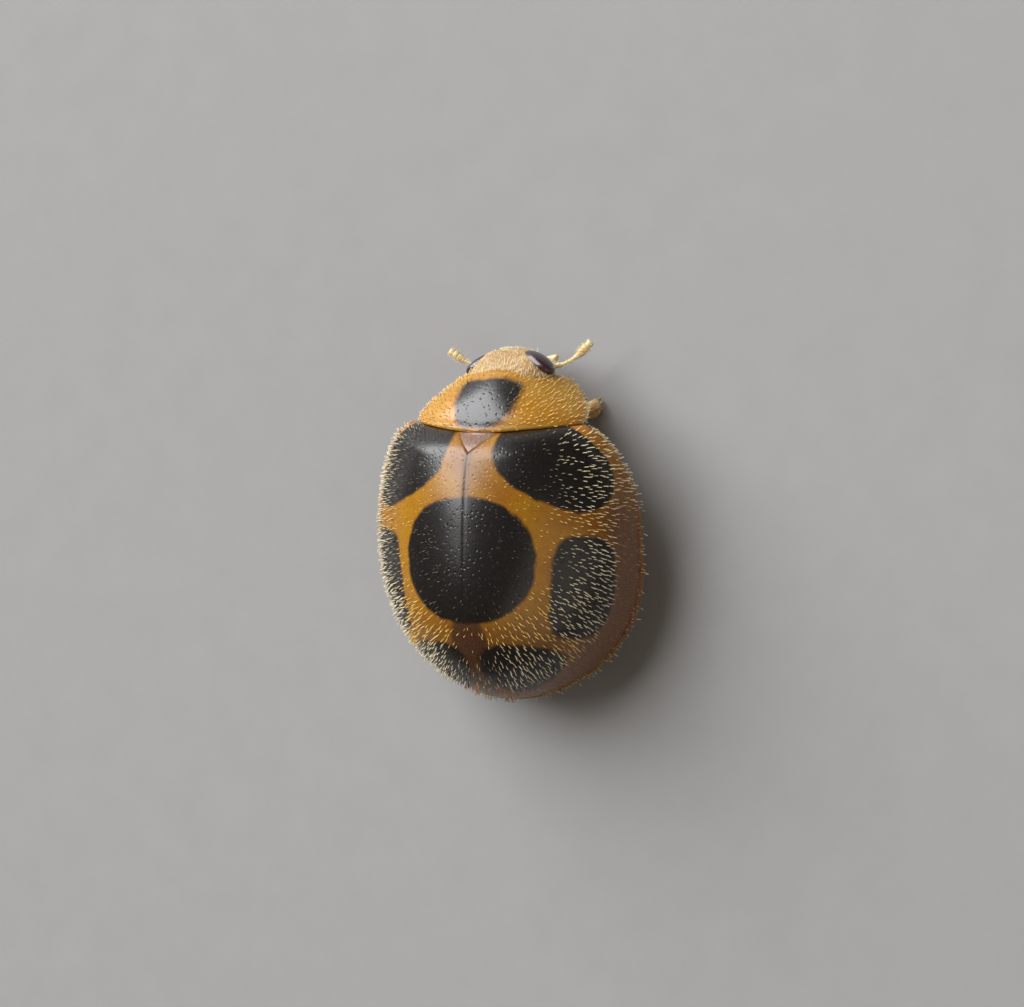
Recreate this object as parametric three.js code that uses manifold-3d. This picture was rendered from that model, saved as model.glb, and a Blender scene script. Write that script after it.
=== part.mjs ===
// Hairy leaf-eating ladybird at rest, life size: about 6 mm of body from brow to tail.
// Millimetres, +Z up, head toward -Y, the ground at z = 0. The outer faces lie at the tips of the short coat.
import * as THREE from 'three';
import { mergeVertices } from 'three/addons/utils/BufferGeometryUtils.js';
import Module from 'manifold-3d';

const wasm = await Module();
wasm.setup();

// ---- driving dimensions ----
const coat = 0.11; // how far the hairs stand out from the cuticle
const gap = 0.02; // clearance between neighbouring pieces
const shellWall = 0.5; // wing case, hairs included
const collarWall = 0.42; // pronotum, hairs included

// Wing cases: cuticle sizes, each named exponent shapes one superelliptic arc.
const wing = {
  halfWidth: 2.41, top: 2.85, tail: 3.0,
  widestAt: 0.37, highestAt: -0.03, shoulderEnd: -2.05, slopeEnd: -3.4, domeEnd: -4.2,
  marginTail: 0.7, marginArch: 0.35, archAt: -0.17, archSpread: 1.3,
  baseY: -1.53, baseCurve: 0.105, basePower: 1.2, baseDrop: 0.3, baseRound: 0.42,
  notchHalf: 0.36, notchDepth: 0.3, sutureHalf: 0.01,
};
const rearPlan = [2.32, 1.72];
const frontPlan = [2.93, 2.76];
const domePlan = [2.2, 2.0];
const rearSide = [2.87, 2.46];
const frontSide = [2.11, 2.0];
const crossArc = [1.91, 1.61];
const collarPlan = [1.7, 1.35];

// Pronotum: a collar plate from the wing case base to just behind the eyes.
const collar = {
  frontY: -2.62, frontCurve: 0.13, widest: 1.53, widestAt: 0.25, hind: 1.5, front: 0.9,
  top: 2.35, drop: 0.67, dropPower: 2.1, marginHind: 1.5, marginFront: 0.82,
  arcHind: 1.61, arcFront: 1.25, coatShare: 0.8,
};

const shield = { half: 0.32, tipY: -1.28, baseY: -1.56, wall: 0.3, sunk: 0.04 };
const breast = { frontY: -2.42, hindZ: 0.56, frontZ: 0.72 };
const belly = { centre: 0.5, rim: 0.06, waistY: 0.34, roundPower: 2.4 };
const head = { centre: [-0.03, -2.47, 1.2], half: [0.76, 0.62, 0.44], deflexion: 45, turn: -2, power: 0.92 };
const eye = { centre: [0.6, -2.66, 1.17], half: [0.2, 0.31, 0.27], ahead: 0.02, tip: 20, turn: 32 };
const mouth = { centre: [-0.03, -2.78, 0.68], half: [0.36, 0.26, 0.2], tip: 20 };

// Joints of each left leg, folded under the shell; the fore foot reaches out past the pronotum's corner.
const legs = {
  front: {
    hip: [0.32, -1.72, 0.6], knee: [1.34, -1.28, 0.64],
    ankle: [0.76, -1.74, 0.2], toe: [1.25, -2.14, 0.1],
  },
  mid: {
    hip: [0.42, -0.55, 0.56], knee: [1.6, -0.32, 0.66],
    ankle: [1.06, 0.36, 0.2], toe: [1.62, 0.62, 0.1],
  },
  hind: {
    hip: [0.36, 0.42, 0.54], knee: [1.5, 1.02, 0.64],
    ankle: [0.84, 1.74, 0.2], toe: [1.16, 2.22, 0.1],
  },
};
const legBow = { femur: 0.02, tibia: 0.03, tarsus: -0.02 };

// Courses of the feelers and palps, root to tip; the right feeler is held further forward.
const feelers = {
  left: [[0.5, -2.7, 0.84], [0.82, -2.68, 0.86], [1.02, -2.76, 0.88], [1.32, -2.96, 0.92]],
  right: [[-0.54, -2.7, 0.84], [-0.88, -2.68, 0.86], [-1.12, -2.84, 0.88], [-1.42, -3.14, 0.92]],
};
const palps = [[0.28, -2.76, 0.5], [0.44, -2.84, 0.5], [0.55, -2.82, 0.56]];

// Half-sizes of each limb, wide and high, as functions of the way along it.
const femurRadii = (u) => [0.25 - 0.04 * u, 0.22];
const tibiaRadii = (u) => [0.17 + 0.03 * u, 0.19];
const tarsusRadii = (u) => [0.17 + 0.05 * Math.sin(Math.PI * u), 0.17];
const palpRadii = (u) => [0.12 + 0.06 * u, 0.1 + 0.05 * u];
const feelerRadii = (u) => [0.15 + 0.06 * u ** 3, 0.15 + 0.05 * u ** 3];

// Facets: across and along the plates, round and down the rounded bodies, sides and rings of the limbs.
const facets = {
  wing: [10, 18], collar: [18, 7], breast: [12, 4], chest: [12, 6], abdomen: [12, 9], shield: [4, 2],
  head: [18, 12], eye: [12, 8], mouth: [12, 8], leg: [8, 6], tarsus: [8, 7], palp: [8, 6], feeler: [8, 12],
};

const colours = { shell: 0xd9961f, spot: 0x1c1613, eye: 0x2a1822, limb: 0xc08a3e, under: 0x8c5a28 };

// ---- shape helpers ----
const clamp01 = (v) => Math.min(1, Math.max(0, v));
const arc = (q, [n, m]) => (1 - clamp01(Math.abs(q)) ** n) ** (1 / m);
const mix = (a, b, t) => a + (b - a) * t;

// Height of the wing case rim over the ground, arched along the flank.
function marginHeight(y) {
  return wing.marginTail + wing.marginArch * Math.exp(-(((y - wing.archAt) / wing.archSpread) ** 2));
}

// Plan half-width of the wing cases at y; inset moves the surface inward from the cuticle.
function halfWidth(y, inset) {
  const tail = wing.tail - inset;
  const q = y > wing.widestAt
    ? arc((y - wing.widestAt) / (tail - wing.widestAt), rearPlan)
    : arc((wing.widestAt - y) / (wing.widestAt - wing.shoulderEnd), frontPlan);
  return (wing.halfWidth - inset) * q;
}

// Half-width of the dome itself, which runs on forward under the pronotum and lifts the shoulder rim.
function domeWidth(y, inset) {
  if (y > wing.widestAt) return halfWidth(y, inset);
  return (wing.halfWidth - inset) * arc((wing.widestAt - y) / (wing.widestAt - wing.domeEnd), domePlan);
}

// Height of the suture line at y.
function ridgeHeight(y, inset) {
  const tail = wing.tail - inset;
  const q = y > wing.highestAt
    ? arc((y - wing.highestAt) / (tail - wing.highestAt), rearSide)
    : arc((wing.highestAt - y) / (wing.highestAt - wing.slopeEnd), frontSide);
  return mix(marginHeight(y), wing.top - inset, q);
}

// Front edge of the wing cases, without and with the notch for the scutellum.
const shoulderLine = (x) => wing.baseY - wing.baseCurve * Math.abs(x) ** wing.basePower;
const baseLine = (x) => shoulderLine(x) + wing.notchDepth * clamp01(1 - Math.abs(x) / wing.notchHalf);

// Where the line of constant s starts on a front edge drawn as y = edge(x).
function edgeStart(s, inset, edge) {
  let y = edge(0);
  for (let step = 0; step < 12; step++) y = edge(s * halfWidth(y, inset));
  return y;
}

// Point of the wing case surface: s from suture to rim, y along the body. The outer face arches over
// the dome's width, and the lining over its own, so the rim folds inward and down under the shoulder.
function domePoint(s, y, inset) {
  const x = s * halfWidth(y, inset);
  const reach = inset < 0 ? domeWidth(y, inset) : halfWidth(y, inset);
  const rise = reach > 0 ? arc(x / reach, crossArc) : 0;
  const rounding = clamp01(1 - (y - shoulderLine(x)) / wing.baseRound);
  const z = mix(marginHeight(y), ridgeHeight(y, inset), rise);
  return [x, y, z - wing.baseDrop * rounding * rounding * rise];
}

// Closed body from indexed points, with repeated corners dropped.
function bodyFrom(points, faces) {
  const geometry = new THREE.BufferGeometry();
  geometry.setAttribute('position', new THREE.Float32BufferAttribute(points.flat(), 3));
  geometry.setIndex(faces.flat());
  const merged = mergeVertices(geometry, 1e-4);
  const corners = merged.index.array;
  const kept = [];
  for (let i = 0; i < corners.length; i += 3) {
    const [a, b, c] = corners.slice(i, i + 3);
    if (a !== b && b !== c && c !== a) kept.push(a, b, c);
  }
  merged.setIndex(kept);
  return merged;
}

// Closed body between an upper and a lower patch, each a function of (s, t) over the same grid.
function slab(upper, lower, [across, along], sRange = [-1, 1]) {
  const points = [];
  const faces = [];
  const row = across + 1;
  const layer = row * (along + 1);
  for (const patch of [upper, lower]) {
    for (let j = 0; j <= along; j++) {
      for (let i = 0; i <= across; i++) points.push(patch(mix(...sRange, i / across), j / along));
    }
  }
  const quad = (a, b, c, d) => faces.push([a, b, c], [a, c, d]);
  for (let j = 0; j < along; j++) {
    for (let i = 0; i < across; i++) {
      const a = j * row + i;
      quad(a, a + 1, a + 1 + row, a + row);
      quad(layer + a, layer + a + row, layer + a + 1 + row, layer + a + 1);
    }
    const left = j * row;
    const right = left + across;
    quad(left, left + row, layer + left + row, layer + left);
    quad(right, layer + right, layer + right + row, right + row);
  }
  for (let i = 0; i < across; i++) {
    const near = i;
    const far = along * row + i;
    quad(near, layer + near, layer + near + 1, near + 1);
    quad(far, far + 1, layer + far + 1, layer + far);
  }
  return bodyFrom(points, faces);
}

// Rounded body: a sphere squared off by power, stretched, tipped and set in place.
function pebble(centre, half, [around, down], { tip = 0, turn = 0, power = 1, grow = 0 } = {}) {
  const geometry = new THREE.SphereGeometry(1, around, down);
  geometry.deleteAttribute('normal');
  geometry.deleteAttribute('uv');
  const at = geometry.attributes.position;
  for (let i = 0; i < at.count; i++) {
    const p = [at.getX(i), at.getY(i), at.getZ(i)].map((v) => Math.sign(v) * Math.abs(v) ** power);
    at.setXYZ(i, ...p.map((v, k) => v * (half[k] + grow)));
  }
  geometry.rotateX(THREE.MathUtils.degToRad(tip));
  geometry.rotateZ(THREE.MathUtils.degToRad(turn));
  geometry.translate(...centre);
  return mergeVertices(geometry, 1e-4);
}

// Limb along a curve: radii gives [wide, high] half-sizes as a function of the way along it.
function limb(stops, radii, [around, rings], { grow = 0, ground = null } = {}) {
  const curve = new THREE.CatmullRomCurve3(stops.map((p) => new THREE.Vector3(...p)));
  const points = [];
  const faces = [];
  const up = new THREE.Vector3(0, 0, 1);
  const place = (p) => [p.x, p.y, ground === null ? p.z : Math.max(ground, p.z)];
  const ends = [];
  for (let j = 0; j <= rings; j++) {
    const u = 0.5 - 0.5 * Math.cos((Math.PI * j) / rings);
    const along = curve.getTangentAt(u);
    const centre = curve.getPointAt(u).addScaledVector(along, grow * (2 * u - 1));
    if (j === 0 || j === rings) {
      ends.push(place(centre));
      continue;
    }
    const side = new THREE.Vector3().crossVectors(along, up).normalize();
    const over = new THREE.Vector3().crossVectors(side, along);
    const [wide, high] = radii(u).map((r) => r * Math.sin((Math.PI * j) / rings) ** 0.6 + grow);
    for (let i = 0; i < around; i++) {
      const turn = (2 * Math.PI * (i + 0.5)) / around;
      const p = centre.clone().addScaledVector(side, wide * Math.cos(turn));
      points.push(place(p.addScaledVector(over, high * Math.sin(turn))));
    }
  }
  const first = points.push(ends[0]) - 1;
  const last = points.push(ends[1]) - 1;
  const lastRing = (rings - 2) * around;
  for (let i = 0; i < around; i++) {
    const next = (i + 1) % around;
    faces.push([first, i, next], [last, lastRing + next, lastRing + i]);
    for (let j = 0; j < rings - 2; j++) {
      const a = j * around;
      faces.push([a + i, a + around + i, a + around + next], [a + i, a + around + next, a + next]);
    }
  }
  return bodyFrom(points, faces);
}

function toSolid(geometry) {
  return new wasm.Manifold(new wasm.Mesh({
    numProp: 3,
    vertProperties: new Float32Array(geometry.attributes.position.array),
    triVerts: new Uint32Array(geometry.index.array),
  }));
}

// The geometry with each of the others taken out of it; small offcuts are dropped.
function cut(geometry, ...others) {
  const solid = others.reduce((rest, other) => rest.subtract(toSolid(other)), toSolid(geometry));
  const [largest] = solid.decompose().sort((a, b) => b.volume() - a.volume());
  const mesh = largest.getMesh();
  const result = new THREE.BufferGeometry();
  result.setAttribute('position', new THREE.Float32BufferAttribute(mesh.vertProperties, 3));
  result.setIndex(Array.from(mesh.triVerts));
  return result;
}

const ladybird = new THREE.Group();

function addPiece(name, geometry, color, roughness = 0.45) {
  const material = new THREE.MeshStandardMaterial({ color, roughness, metalness: 0 });
  const mesh = new THREE.Mesh(geometry, material);
  mesh.name = name;
  ladybird.add(mesh);
}

const sides = [['left', 1], ['right', -1]];
const mirror = (points, sign) => points.map(([x, y, z]) => [x * sign, y, z]);

// ---- wing cases ----
function wingPatch(inset, sign) {
  return (s, t) => {
    const start = edgeStart(s, inset, baseLine);
    const y = mix(start, wing.tail - inset, Math.sin((t * Math.PI) / 2));
    const [x, , z] = domePoint(s, y, inset);
    return [sign * Math.max(wing.sutureHalf, x), y, z];
  };
}

for (const [side, sign] of sides) {
  const range = sign > 0 ? [0, 1] : [1, 0];
  const shell = slab(wingPatch(-coat, sign), wingPatch(shellWall - coat, sign), facets.wing, range);
  addPiece(`elytron_${side}`, shell, colours.shell);
}

// ---- pronotum ----
function collarWidth(t, inset) {
  const toFront = clamp01((t - collar.widestAt) / (1 - collar.widestAt));
  const toHind = clamp01((collar.widestAt - t) / collar.widestAt);
  const front = mix(collar.front, collar.widest, arc(toFront, collarPlan));
  return front - (collar.widest - collar.hind) * toHind * toHind - inset;
}

function collarPatch(inset, grow = 0) {
  return (s, t) => {
    const x = s * collarWidth(t, inset);
    const hind = shoulderLine(x) - gap + grow;
    const front = collar.frontY + collar.frontCurve * x * x - grow;
    const rim = mix(collar.marginHind, collar.marginFront, t);
    const ridge = collar.top - collar.drop * t ** collar.dropPower - inset;
    const rise = arc(s, [crossArc[0], mix(collar.arcHind, collar.arcFront, t)]);
    return [x, mix(hind, front, t), mix(rim, ridge, rise)];
  };
}

const collarOver = -collar.coatShare * coat;
const collarUnder = collarWall + collarOver;
const collarPlate = (grow) => slab(
  collarPatch(collarOver - grow, grow), collarPatch(collarUnder + grow, grow), facets.collar, [1, -1],
);
const pronotumGrown = collarPlate(gap);
addPiece('pronotum', collarPlate(0), colours.shell);

// ---- head, eyes, mouth and feelers ----
const skull = (grow) => pebble(head.centre, head.half, facets.head, {
  tip: head.deflexion, turn: head.turn, power: head.power, grow,
});
const eyeball = (sign, grow) => pebble(
  [head.centre[0] + sign * eye.centre[0], eye.centre[1] + sign * eye.ahead, eye.centre[2]],
  eye.half, facets.eye, { tip: eye.tip, turn: -sign * eye.turn, grow },
);
const jaw = (grow) => pebble(mouth.centre, mouth.half, facets.mouth, {
  tip: mouth.tip, turn: head.turn, grow,
});

const sockets = sides.map(([, sign]) => eyeball(sign, gap));
addPiece('head', cut(skull(0), pronotumGrown, ...sockets, jaw(gap)), colours.shell);
addPiece('mouthparts', jaw(0), colours.under);
sides.forEach(([side, sign], i) => {
  addPiece(`eye_${side}`, cut(eyeball(sign, 0), pronotumGrown), colours.eye, 0.12);
  const palp = limb(mirror(palps, sign), palpRadii, facets.palp);
  addPiece(`palp_${side}`, cut(palp, jaw(gap), skull(gap)), colours.limb);
  const feeler = limb(feelers[side], feelerRadii, facets.feeler);
  addPiece(`antenna_${side}`, cut(feeler, skull(gap), sockets[i]), colours.limb);
});

// ---- legs ----
function bowed(from, to, lift) {
  const middle = from.map((v, i) => mix(v, to[i], 0.5));
  middle[2] += lift;
  return [from, middle, to];
}

const grownLegs = [];
for (const [pair, joints] of Object.entries(legs)) {
  for (const [side, sign] of sides) {
    const [hip, knee, ankle, toe] = mirror([joints.hip, joints.knee, joints.ankle, joints.toe], sign);
    const femur = (grow) => limb(bowed(hip, knee, legBow.femur), femurRadii, facets.leg, { grow });
    const tibia = (grow) => limb(bowed(knee, ankle, legBow.tibia), tibiaRadii, facets.leg, { grow });
    const tarsus = limb(bowed(ankle, toe, legBow.tarsus), tarsusRadii, facets.tarsus, { ground: 0 });
    addPiece(`${pair}_femur_${side}`, femur(0), colours.limb);
    addPiece(`${pair}_tibia_${side}`, cut(tibia(0), femur(gap)), colours.limb);
    addPiece(`${pair}_tarsus_${side}`, cut(tarsus, tibia(gap), femur(gap)), colours.limb);
    grownLegs.push(femur(gap), tibia(gap));
  }
}

// ---- scutellum: the small triangle let into the wing case bases ----
function shieldPatch(depth) {
  return (s, t) => {
    const x = s * shield.half * (1 - t);
    const y = mix(shield.baseY, shield.tipY, t);
    const [, , z] = domePoint(Math.abs(x) / halfWidth(y, -coat), y, -coat);
    return [x, y, z - depth];
  };
}
const scutellum = slab(shieldPatch(shield.sunk), shieldPatch(shield.sunk + shield.wall), facets.shield);
addPiece('scutellum', scutellum, colours.spot);

// ---- trunk: chest and abdomen fill the wing cases from inside ----
const lining = shellWall - coat + gap;

function trunk(front, rear, counts) {
  const place = (s, t) => {
    const y = mix(front(Math.abs(s)), rear, t);
    return [s * halfWidth(y, lining), y];
  };
  const back = (s, t) => {
    const [x, y] = place(s, t);
    const [, , z] = domePoint(Math.abs(s), y, lining);
    return [x, y, z];
  };
  const underside = (s, t) => {
    const [x, y] = place(s, t);
    return [x, y, mix(belly.centre, marginHeight(y) - belly.rim, Math.abs(s) ** belly.roundPower)];
  };
  return slab(back, underside, counts);
}

const chest = trunk((s) => edgeStart(s, lining, shoulderLine) + gap, belly.waistY, facets.chest);
const abdomen = trunk(() => belly.waistY + gap, wing.tail - lining - gap, facets.abdomen);
addPiece('thorax', cut(chest, ...grownLegs), colours.under);
addPiece('abdomen', cut(abdomen, ...grownLegs), colours.under);

// ---- prothorax: the underside that carries the pronotum, the head and the fore legs ----
const roof = collarPatch(collarUnder + gap);
const breastY = (x, t) => mix(shoulderLine(x) - gap, breast.frontY, t);
const breastTop = (s, t) => {
  const [x, , z] = roof(s, t);
  return [x, breastY(x, t), z];
};
const breastUnder = (s, t) => {
  const [x] = roof(s, t);
  const rim = mix(collar.marginHind, collar.marginFront, t) - belly.rim;
  const middle = mix(breast.hindZ, breast.frontZ, t);
  return [x, breastY(x, t), mix(middle, rim, Math.abs(s) ** belly.roundPower)];
};
const prothorax = slab(breastTop, breastUnder, facets.breast, [1, -1]);
addPiece('prothorax', cut(prothorax, skull(gap), jaw(gap), ...sockets, ...grownLegs), colours.under);

export default ladybird;
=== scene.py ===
import math

import bmesh
import bpy
import numpy as np
from mathutils import Matrix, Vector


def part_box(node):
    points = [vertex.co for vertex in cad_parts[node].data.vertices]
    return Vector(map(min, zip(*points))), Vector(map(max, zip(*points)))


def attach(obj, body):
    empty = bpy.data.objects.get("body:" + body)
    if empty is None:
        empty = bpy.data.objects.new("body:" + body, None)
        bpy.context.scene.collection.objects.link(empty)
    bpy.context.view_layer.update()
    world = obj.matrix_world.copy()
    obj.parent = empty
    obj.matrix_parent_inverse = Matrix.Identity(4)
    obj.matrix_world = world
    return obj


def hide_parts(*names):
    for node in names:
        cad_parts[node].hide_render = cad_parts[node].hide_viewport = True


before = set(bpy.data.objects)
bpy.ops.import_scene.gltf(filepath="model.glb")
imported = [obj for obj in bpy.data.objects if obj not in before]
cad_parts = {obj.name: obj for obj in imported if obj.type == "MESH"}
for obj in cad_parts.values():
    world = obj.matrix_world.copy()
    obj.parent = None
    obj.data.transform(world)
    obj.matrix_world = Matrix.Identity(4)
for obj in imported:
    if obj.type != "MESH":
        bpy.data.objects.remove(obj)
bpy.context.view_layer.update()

mm = 0.001  # sizes below are in millimetres, meshes are made in metres

# The wing cases and the pronotum have the arcs of their solids.
coatDepth = 0.11  # how far the hairs stand out from the cuticle
wingHigh = np.array(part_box("elytron_left")[1]) / mm
wing = {
    "halfWidth": wingHigh[0] - coatDepth,
    "top": wingHigh[2] - coatDepth,
    "tail": wingHigh[1] - coatDepth,
    "widestAt": 0.37, "highestAt": -0.03,
    "shoulderEnd": -2.05, "slopeEnd": -3.4, "domeEnd": -4.2,
    "rimAtTail": 0.7, "rimArch": 0.35, "archAt": -0.17, "archSpread": 1.3,
    "baseY": -1.53, "baseCurve": 0.105, "basePower": 1.2, "baseDrop": 0.3, "baseRound": 0.42,
    "notchHalf": 0.36, "notchDepth": 0.3,
    "rearPlan": (2.32, 1.72), "frontPlan": (2.93, 2.76), "domePlan": (2.2, 2.0),
    "rearSide": (2.87, 2.46), "frontSide": (2.11, 2.0), "crossArc": (1.91, 1.61),
    "girth": 3.3,  # from suture to rim over the dome
}


def arc(q, powers):
    return (1 - np.clip(np.abs(q), 0, 1) ** powers[0]) ** (1 / powers[1])


def mix(a, b, t):
    return a + (b - a) * t


def bell(distance, width):
    return np.exp(-(distance / width) ** 2)


def ease(low, high, value):
    t = np.clip((value - low) / (high - low), 0, 1)
    return t * t * (3 - 2 * t)


def ridge(look, name, distance):
    return look[name] * bell(distance, look[name + "Width"])


def turnPair(a, b, degrees):
    cos, sin = math.cos(math.radians(degrees)), math.sin(math.radians(degrees))
    return a * cos - b * sin, a * sin + b * cos


def rimHeight(y):
    return wing["rimAtTail"] + wing["rimArch"] * bell(y - wing["archAt"], wing["archSpread"])


def halfWidth(y, inset=0.0):
    tail = wing["tail"] - inset
    rear = arc((y - wing["widestAt"]) / (tail - wing["widestAt"]), wing["rearPlan"])
    front = arc((wing["widestAt"] - y) / (wing["widestAt"] - wing["shoulderEnd"]), wing["frontPlan"])
    return (wing["halfWidth"] - inset) * np.where(y > wing["widestAt"], rear, front)


def domeWidth(y, inset=0.0):
    front = arc((wing["widestAt"] - y) / (wing["widestAt"] - wing["domeEnd"]), wing["domePlan"])
    return np.where(y > wing["widestAt"], halfWidth(y, inset), (wing["halfWidth"] - inset) * front)


def ridgeHeight(y, inset=0.0):
    tail = wing["tail"] - inset
    rear = arc((y - wing["highestAt"]) / (tail - wing["highestAt"]), wing["rearSide"])
    front = arc((wing["highestAt"] - y) / (wing["highestAt"] - wing["slopeEnd"]), wing["frontSide"])
    return mix(rimHeight(y), wing["top"] - inset, np.where(y > wing["highestAt"], rear, front))


def shoulderLine(x):
    return wing["baseY"] - wing["baseCurve"] * np.abs(x) ** wing["basePower"]


def baseLine(x):
    return shoulderLine(x) + wing["notchDepth"] * np.clip(1 - np.abs(x) / wing["notchHalf"], 0, 1)


def edgeStart(s, inset, edge):
    y = edge(np.zeros_like(s))
    for step in range(12):  # the width depends on y and y on the width, so both settle together
        y = edge(s * halfWidth(y, inset))
    return y


def domePoint(s, y, inset=0.0):
    x = s * halfWidth(y, inset)
    reach = np.maximum(domeWidth(y, inset), 1e-6)
    rise = arc(x / reach, wing["crossArc"])
    rounding = np.clip(1 - (y - shoulderLine(x)) / wing["baseRound"], 0, 1)
    z = mix(rimHeight(y), ridgeHeight(y, inset), rise) - wing["baseDrop"] * rounding ** 2 * rise
    return stacked(x, y, z)


# Meshes are made from grids of points.
def stacked(*parts):
    return np.stack(np.broadcast_arrays(*parts), axis=-1)


def lengthAlong(line):
    return np.concatenate([[0], np.cumsum(np.linalg.norm(np.diff(line, axis=0), axis=1))])


def sideways(count, start=-1):
    return np.sin(np.linspace(start, 1, count) * math.pi / 2)[None, :]


def onMap(t):
    return 0.02 + 0.96 * t  # keeps clear of the map's edges


def unitArrows(arrows):
    return arrows / np.maximum(np.linalg.norm(arrows, axis=-1, keepdims=True), 1e-12)


def lieAlong(pull, normals):
    return unitArrows(pull - normals * (pull * normals).sum(axis=-1, keepdims=True))


def gridNormals(grid):
    normal = np.cross(np.gradient(grid, axis=1), np.gradient(grid, axis=0))
    length = np.linalg.norm(normal, axis=2)
    for row in range(1, len(grid)):
        flat = length[row] < 1e-7
        normal[row][flat] = normal[row - 1][flat]
    return unitArrows(normal)


def gridFaces(rows, columns, first=0, wrap=False):
    across = np.arange(columns if wrap else columns - 1)
    row, column = np.meshgrid(np.arange(rows - 1), across, indexing="ij")
    beside = (column + 1) % columns
    corners = [row * columns + column, row * columns + beside,
               (row + 1) * columns + beside, (row + 1) * columns + column]
    return (np.stack(corners, axis=-1).reshape(-1, 4) + first).tolist()


# Marks carried by a mesh: place for its markings, lay and cover for its hairs, unwrap for their map.
def makeMesh(name, points, faces, marks=None, mirror=False):
    points = np.array(points, float).reshape(-1, 3)
    marks = {key: np.array(value, float).reshape(len(points), -1) for key, value in (marks or {}).items()}
    if mirror:
        points = points * (-1, 1, 1)
        for key in ("place", "lay"):
            marks[key] = marks[key] * (-1, 1, 1)
    mesh = bpy.data.meshes.new(name)
    mesh.from_pydata((points * mm).tolist(), [], faces)
    for key, value in marks.items():
        kind, slot = ("FLOAT", "value") if value.shape[1] == 1 else ("FLOAT_VECTOR", "vector")
        mesh.attributes.new(key, kind, "POINT").data.foreach_set(slot, value.astype(np.float32).ravel())
    work = bmesh.new()
    work.from_mesh(mesh)
    bmesh.ops.remove_doubles(work, verts=work.verts, dist=2e-4 * mm)
    bmesh.ops.dissolve_degenerate(work, edges=work.edges, dist=1e-5 * mm)
    bmesh.ops.recalc_face_normals(work, faces=work.faces)
    work.to_mesh(mesh)
    work.free()
    mesh.shade_smooth()
    return mesh


def makePiece(name, mesh, finish):
    piece = bpy.data.objects.new(name, mesh)
    bpy.context.collection.objects.link(piece)
    mesh.materials.clear()
    mesh.materials.append(finish)
    return piece


def joinMeshes(name, meshes):
    work = bmesh.new()
    for mesh in meshes:
        work.from_mesh(mesh)
    joined = bpy.data.meshes.new(name)
    work.to_mesh(joined)
    work.free()
    joined.shade_smooth()
    return joined


def wear(piece, slot, *nodes):
    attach(piece, "root")
    if nodes:
        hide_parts(*nodes)


def slabMesh(name, upper, lower, marks, hairBelow=False, mirror=False):
    rows, columns = upper.shape[:2]
    layer = rows * columns
    faces = gridFaces(rows, columns) + gridFaces(rows, columns, layer)
    down = np.arange(rows) * columns
    over = np.arange(columns)
    for line in (down, down + columns - 1, over, over + (rows - 1) * columns):
        for a, b in zip(line[:-1].tolist(), line[1:].tolist()):
            faces.append((a, b, b + layer, a + layer))
    points = np.concatenate([upper.reshape(-1, 3), lower.reshape(-1, 3)])
    both = {}
    for key, value in marks.items():  # a mark may be one value for the whole slab
        whole = np.broadcast_to(value, upper.shape[:2] if key == "cover" else upper.shape)
        both[key] = np.concatenate([whole.reshape(layer, -1)] * 2)
    bald = slice(0, layer) if hairBelow else slice(layer, None)
    both["cover"][bald] = 0
    return makeMesh(name, points, faces, both, mirror)


def curvePoints(stops, u):
    stops = np.array(stops, float)
    padded = np.vstack([2 * stops[0] - stops[1], stops, 2 * stops[-1] - stops[-2]])
    lengths = lengthAlong(stops)
    where = np.interp(np.asarray(u, float) * lengths[-1], lengths, np.arange(len(stops)))
    cell = np.clip(where.astype(int), 0, len(stops) - 2)
    t = (where - cell)[:, None]
    a, b, c, d = (padded[cell + k] for k in range(4))
    bend, twist = 2 * a - 5 * b + 4 * c - d, 3 * b - a - 3 * c + d
    return 0.5 * (2 * b + (c - a) * t + bend * t ** 2 + twist * t ** 3)


def easeThrough(u, stations, values):
    where = np.interp(u, stations, np.arange(len(stations)))
    cell = np.clip(where.astype(int), 0, len(stations) - 2)
    values = np.array(values, float)
    return mix(values[cell], values[cell + 1], ease(0, 1, where - cell))


def tubeMesh(name, stops, wide, high, rings=40, around=20, strip=(0, 1), blunt=10, mirror=False):
    # wide and high are half-sizes as lists of (way along, size); both ends are closed and rounded
    u = 0.5 - 0.5 * np.cos(np.linspace(0, math.pi, rings + 1))
    centre = curvePoints(stops, u)
    along = unitArrows(np.gradient(centre, axis=0))
    side = unitArrows(np.cross(along, (0, 0, 1)))
    over = np.cross(side, along)
    close = np.sqrt(1 - np.abs(2 * u - 1) ** blunt)
    turn = np.linspace(0, 2 * math.pi, around, endpoint=False)
    across = (easeThrough(u, *zip(*wide)) * close)[:, None, None] * np.cos(turn)[None, :, None]
    upward = (easeThrough(u, *zip(*high)) * close)[:, None, None] * np.sin(turn)[None, :, None]
    grid = centre[:, None] + side[:, None] * across + over[:, None] * upward
    grid[..., 2] = np.maximum(grid[..., 2], 0)  # soles are flat on the floor
    bare = {"end": 0.05, "floor": (0.045, 0.09)}
    cover = (ease(0.0, bare["end"], u) * ease(1.0, 1 - bare["end"], u))[:, None]
    marks = {"place": stacked(u[:, None] + np.zeros(around), 0, 0),
             "lay": np.repeat(along[:, None], around, axis=1),
             "cover": cover * ease(*bare["floor"], grid[..., 2]),
             "unwrap": stacked(mix(*strip, onMap(np.linspace(0, 1, around))), onMap(u)[:, None], 0)}
    return makeMesh(name, grid, gridFaces(rings + 1, around, wrap=True), marks, mirror)


# Nodes are added with their settings and what feeds their sockets; shader maths are plain expressions.
def feed(tree, socket, value):
    if isinstance(value, Signal):
        value = value.socket
    if isinstance(value, bpy.types.NodeSocket):
        tree.links.new(value, socket)
    elif socket.type == "RGBA":
        socket.default_value = (*value, 1)
    else:
        socket.default_value = value


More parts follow.
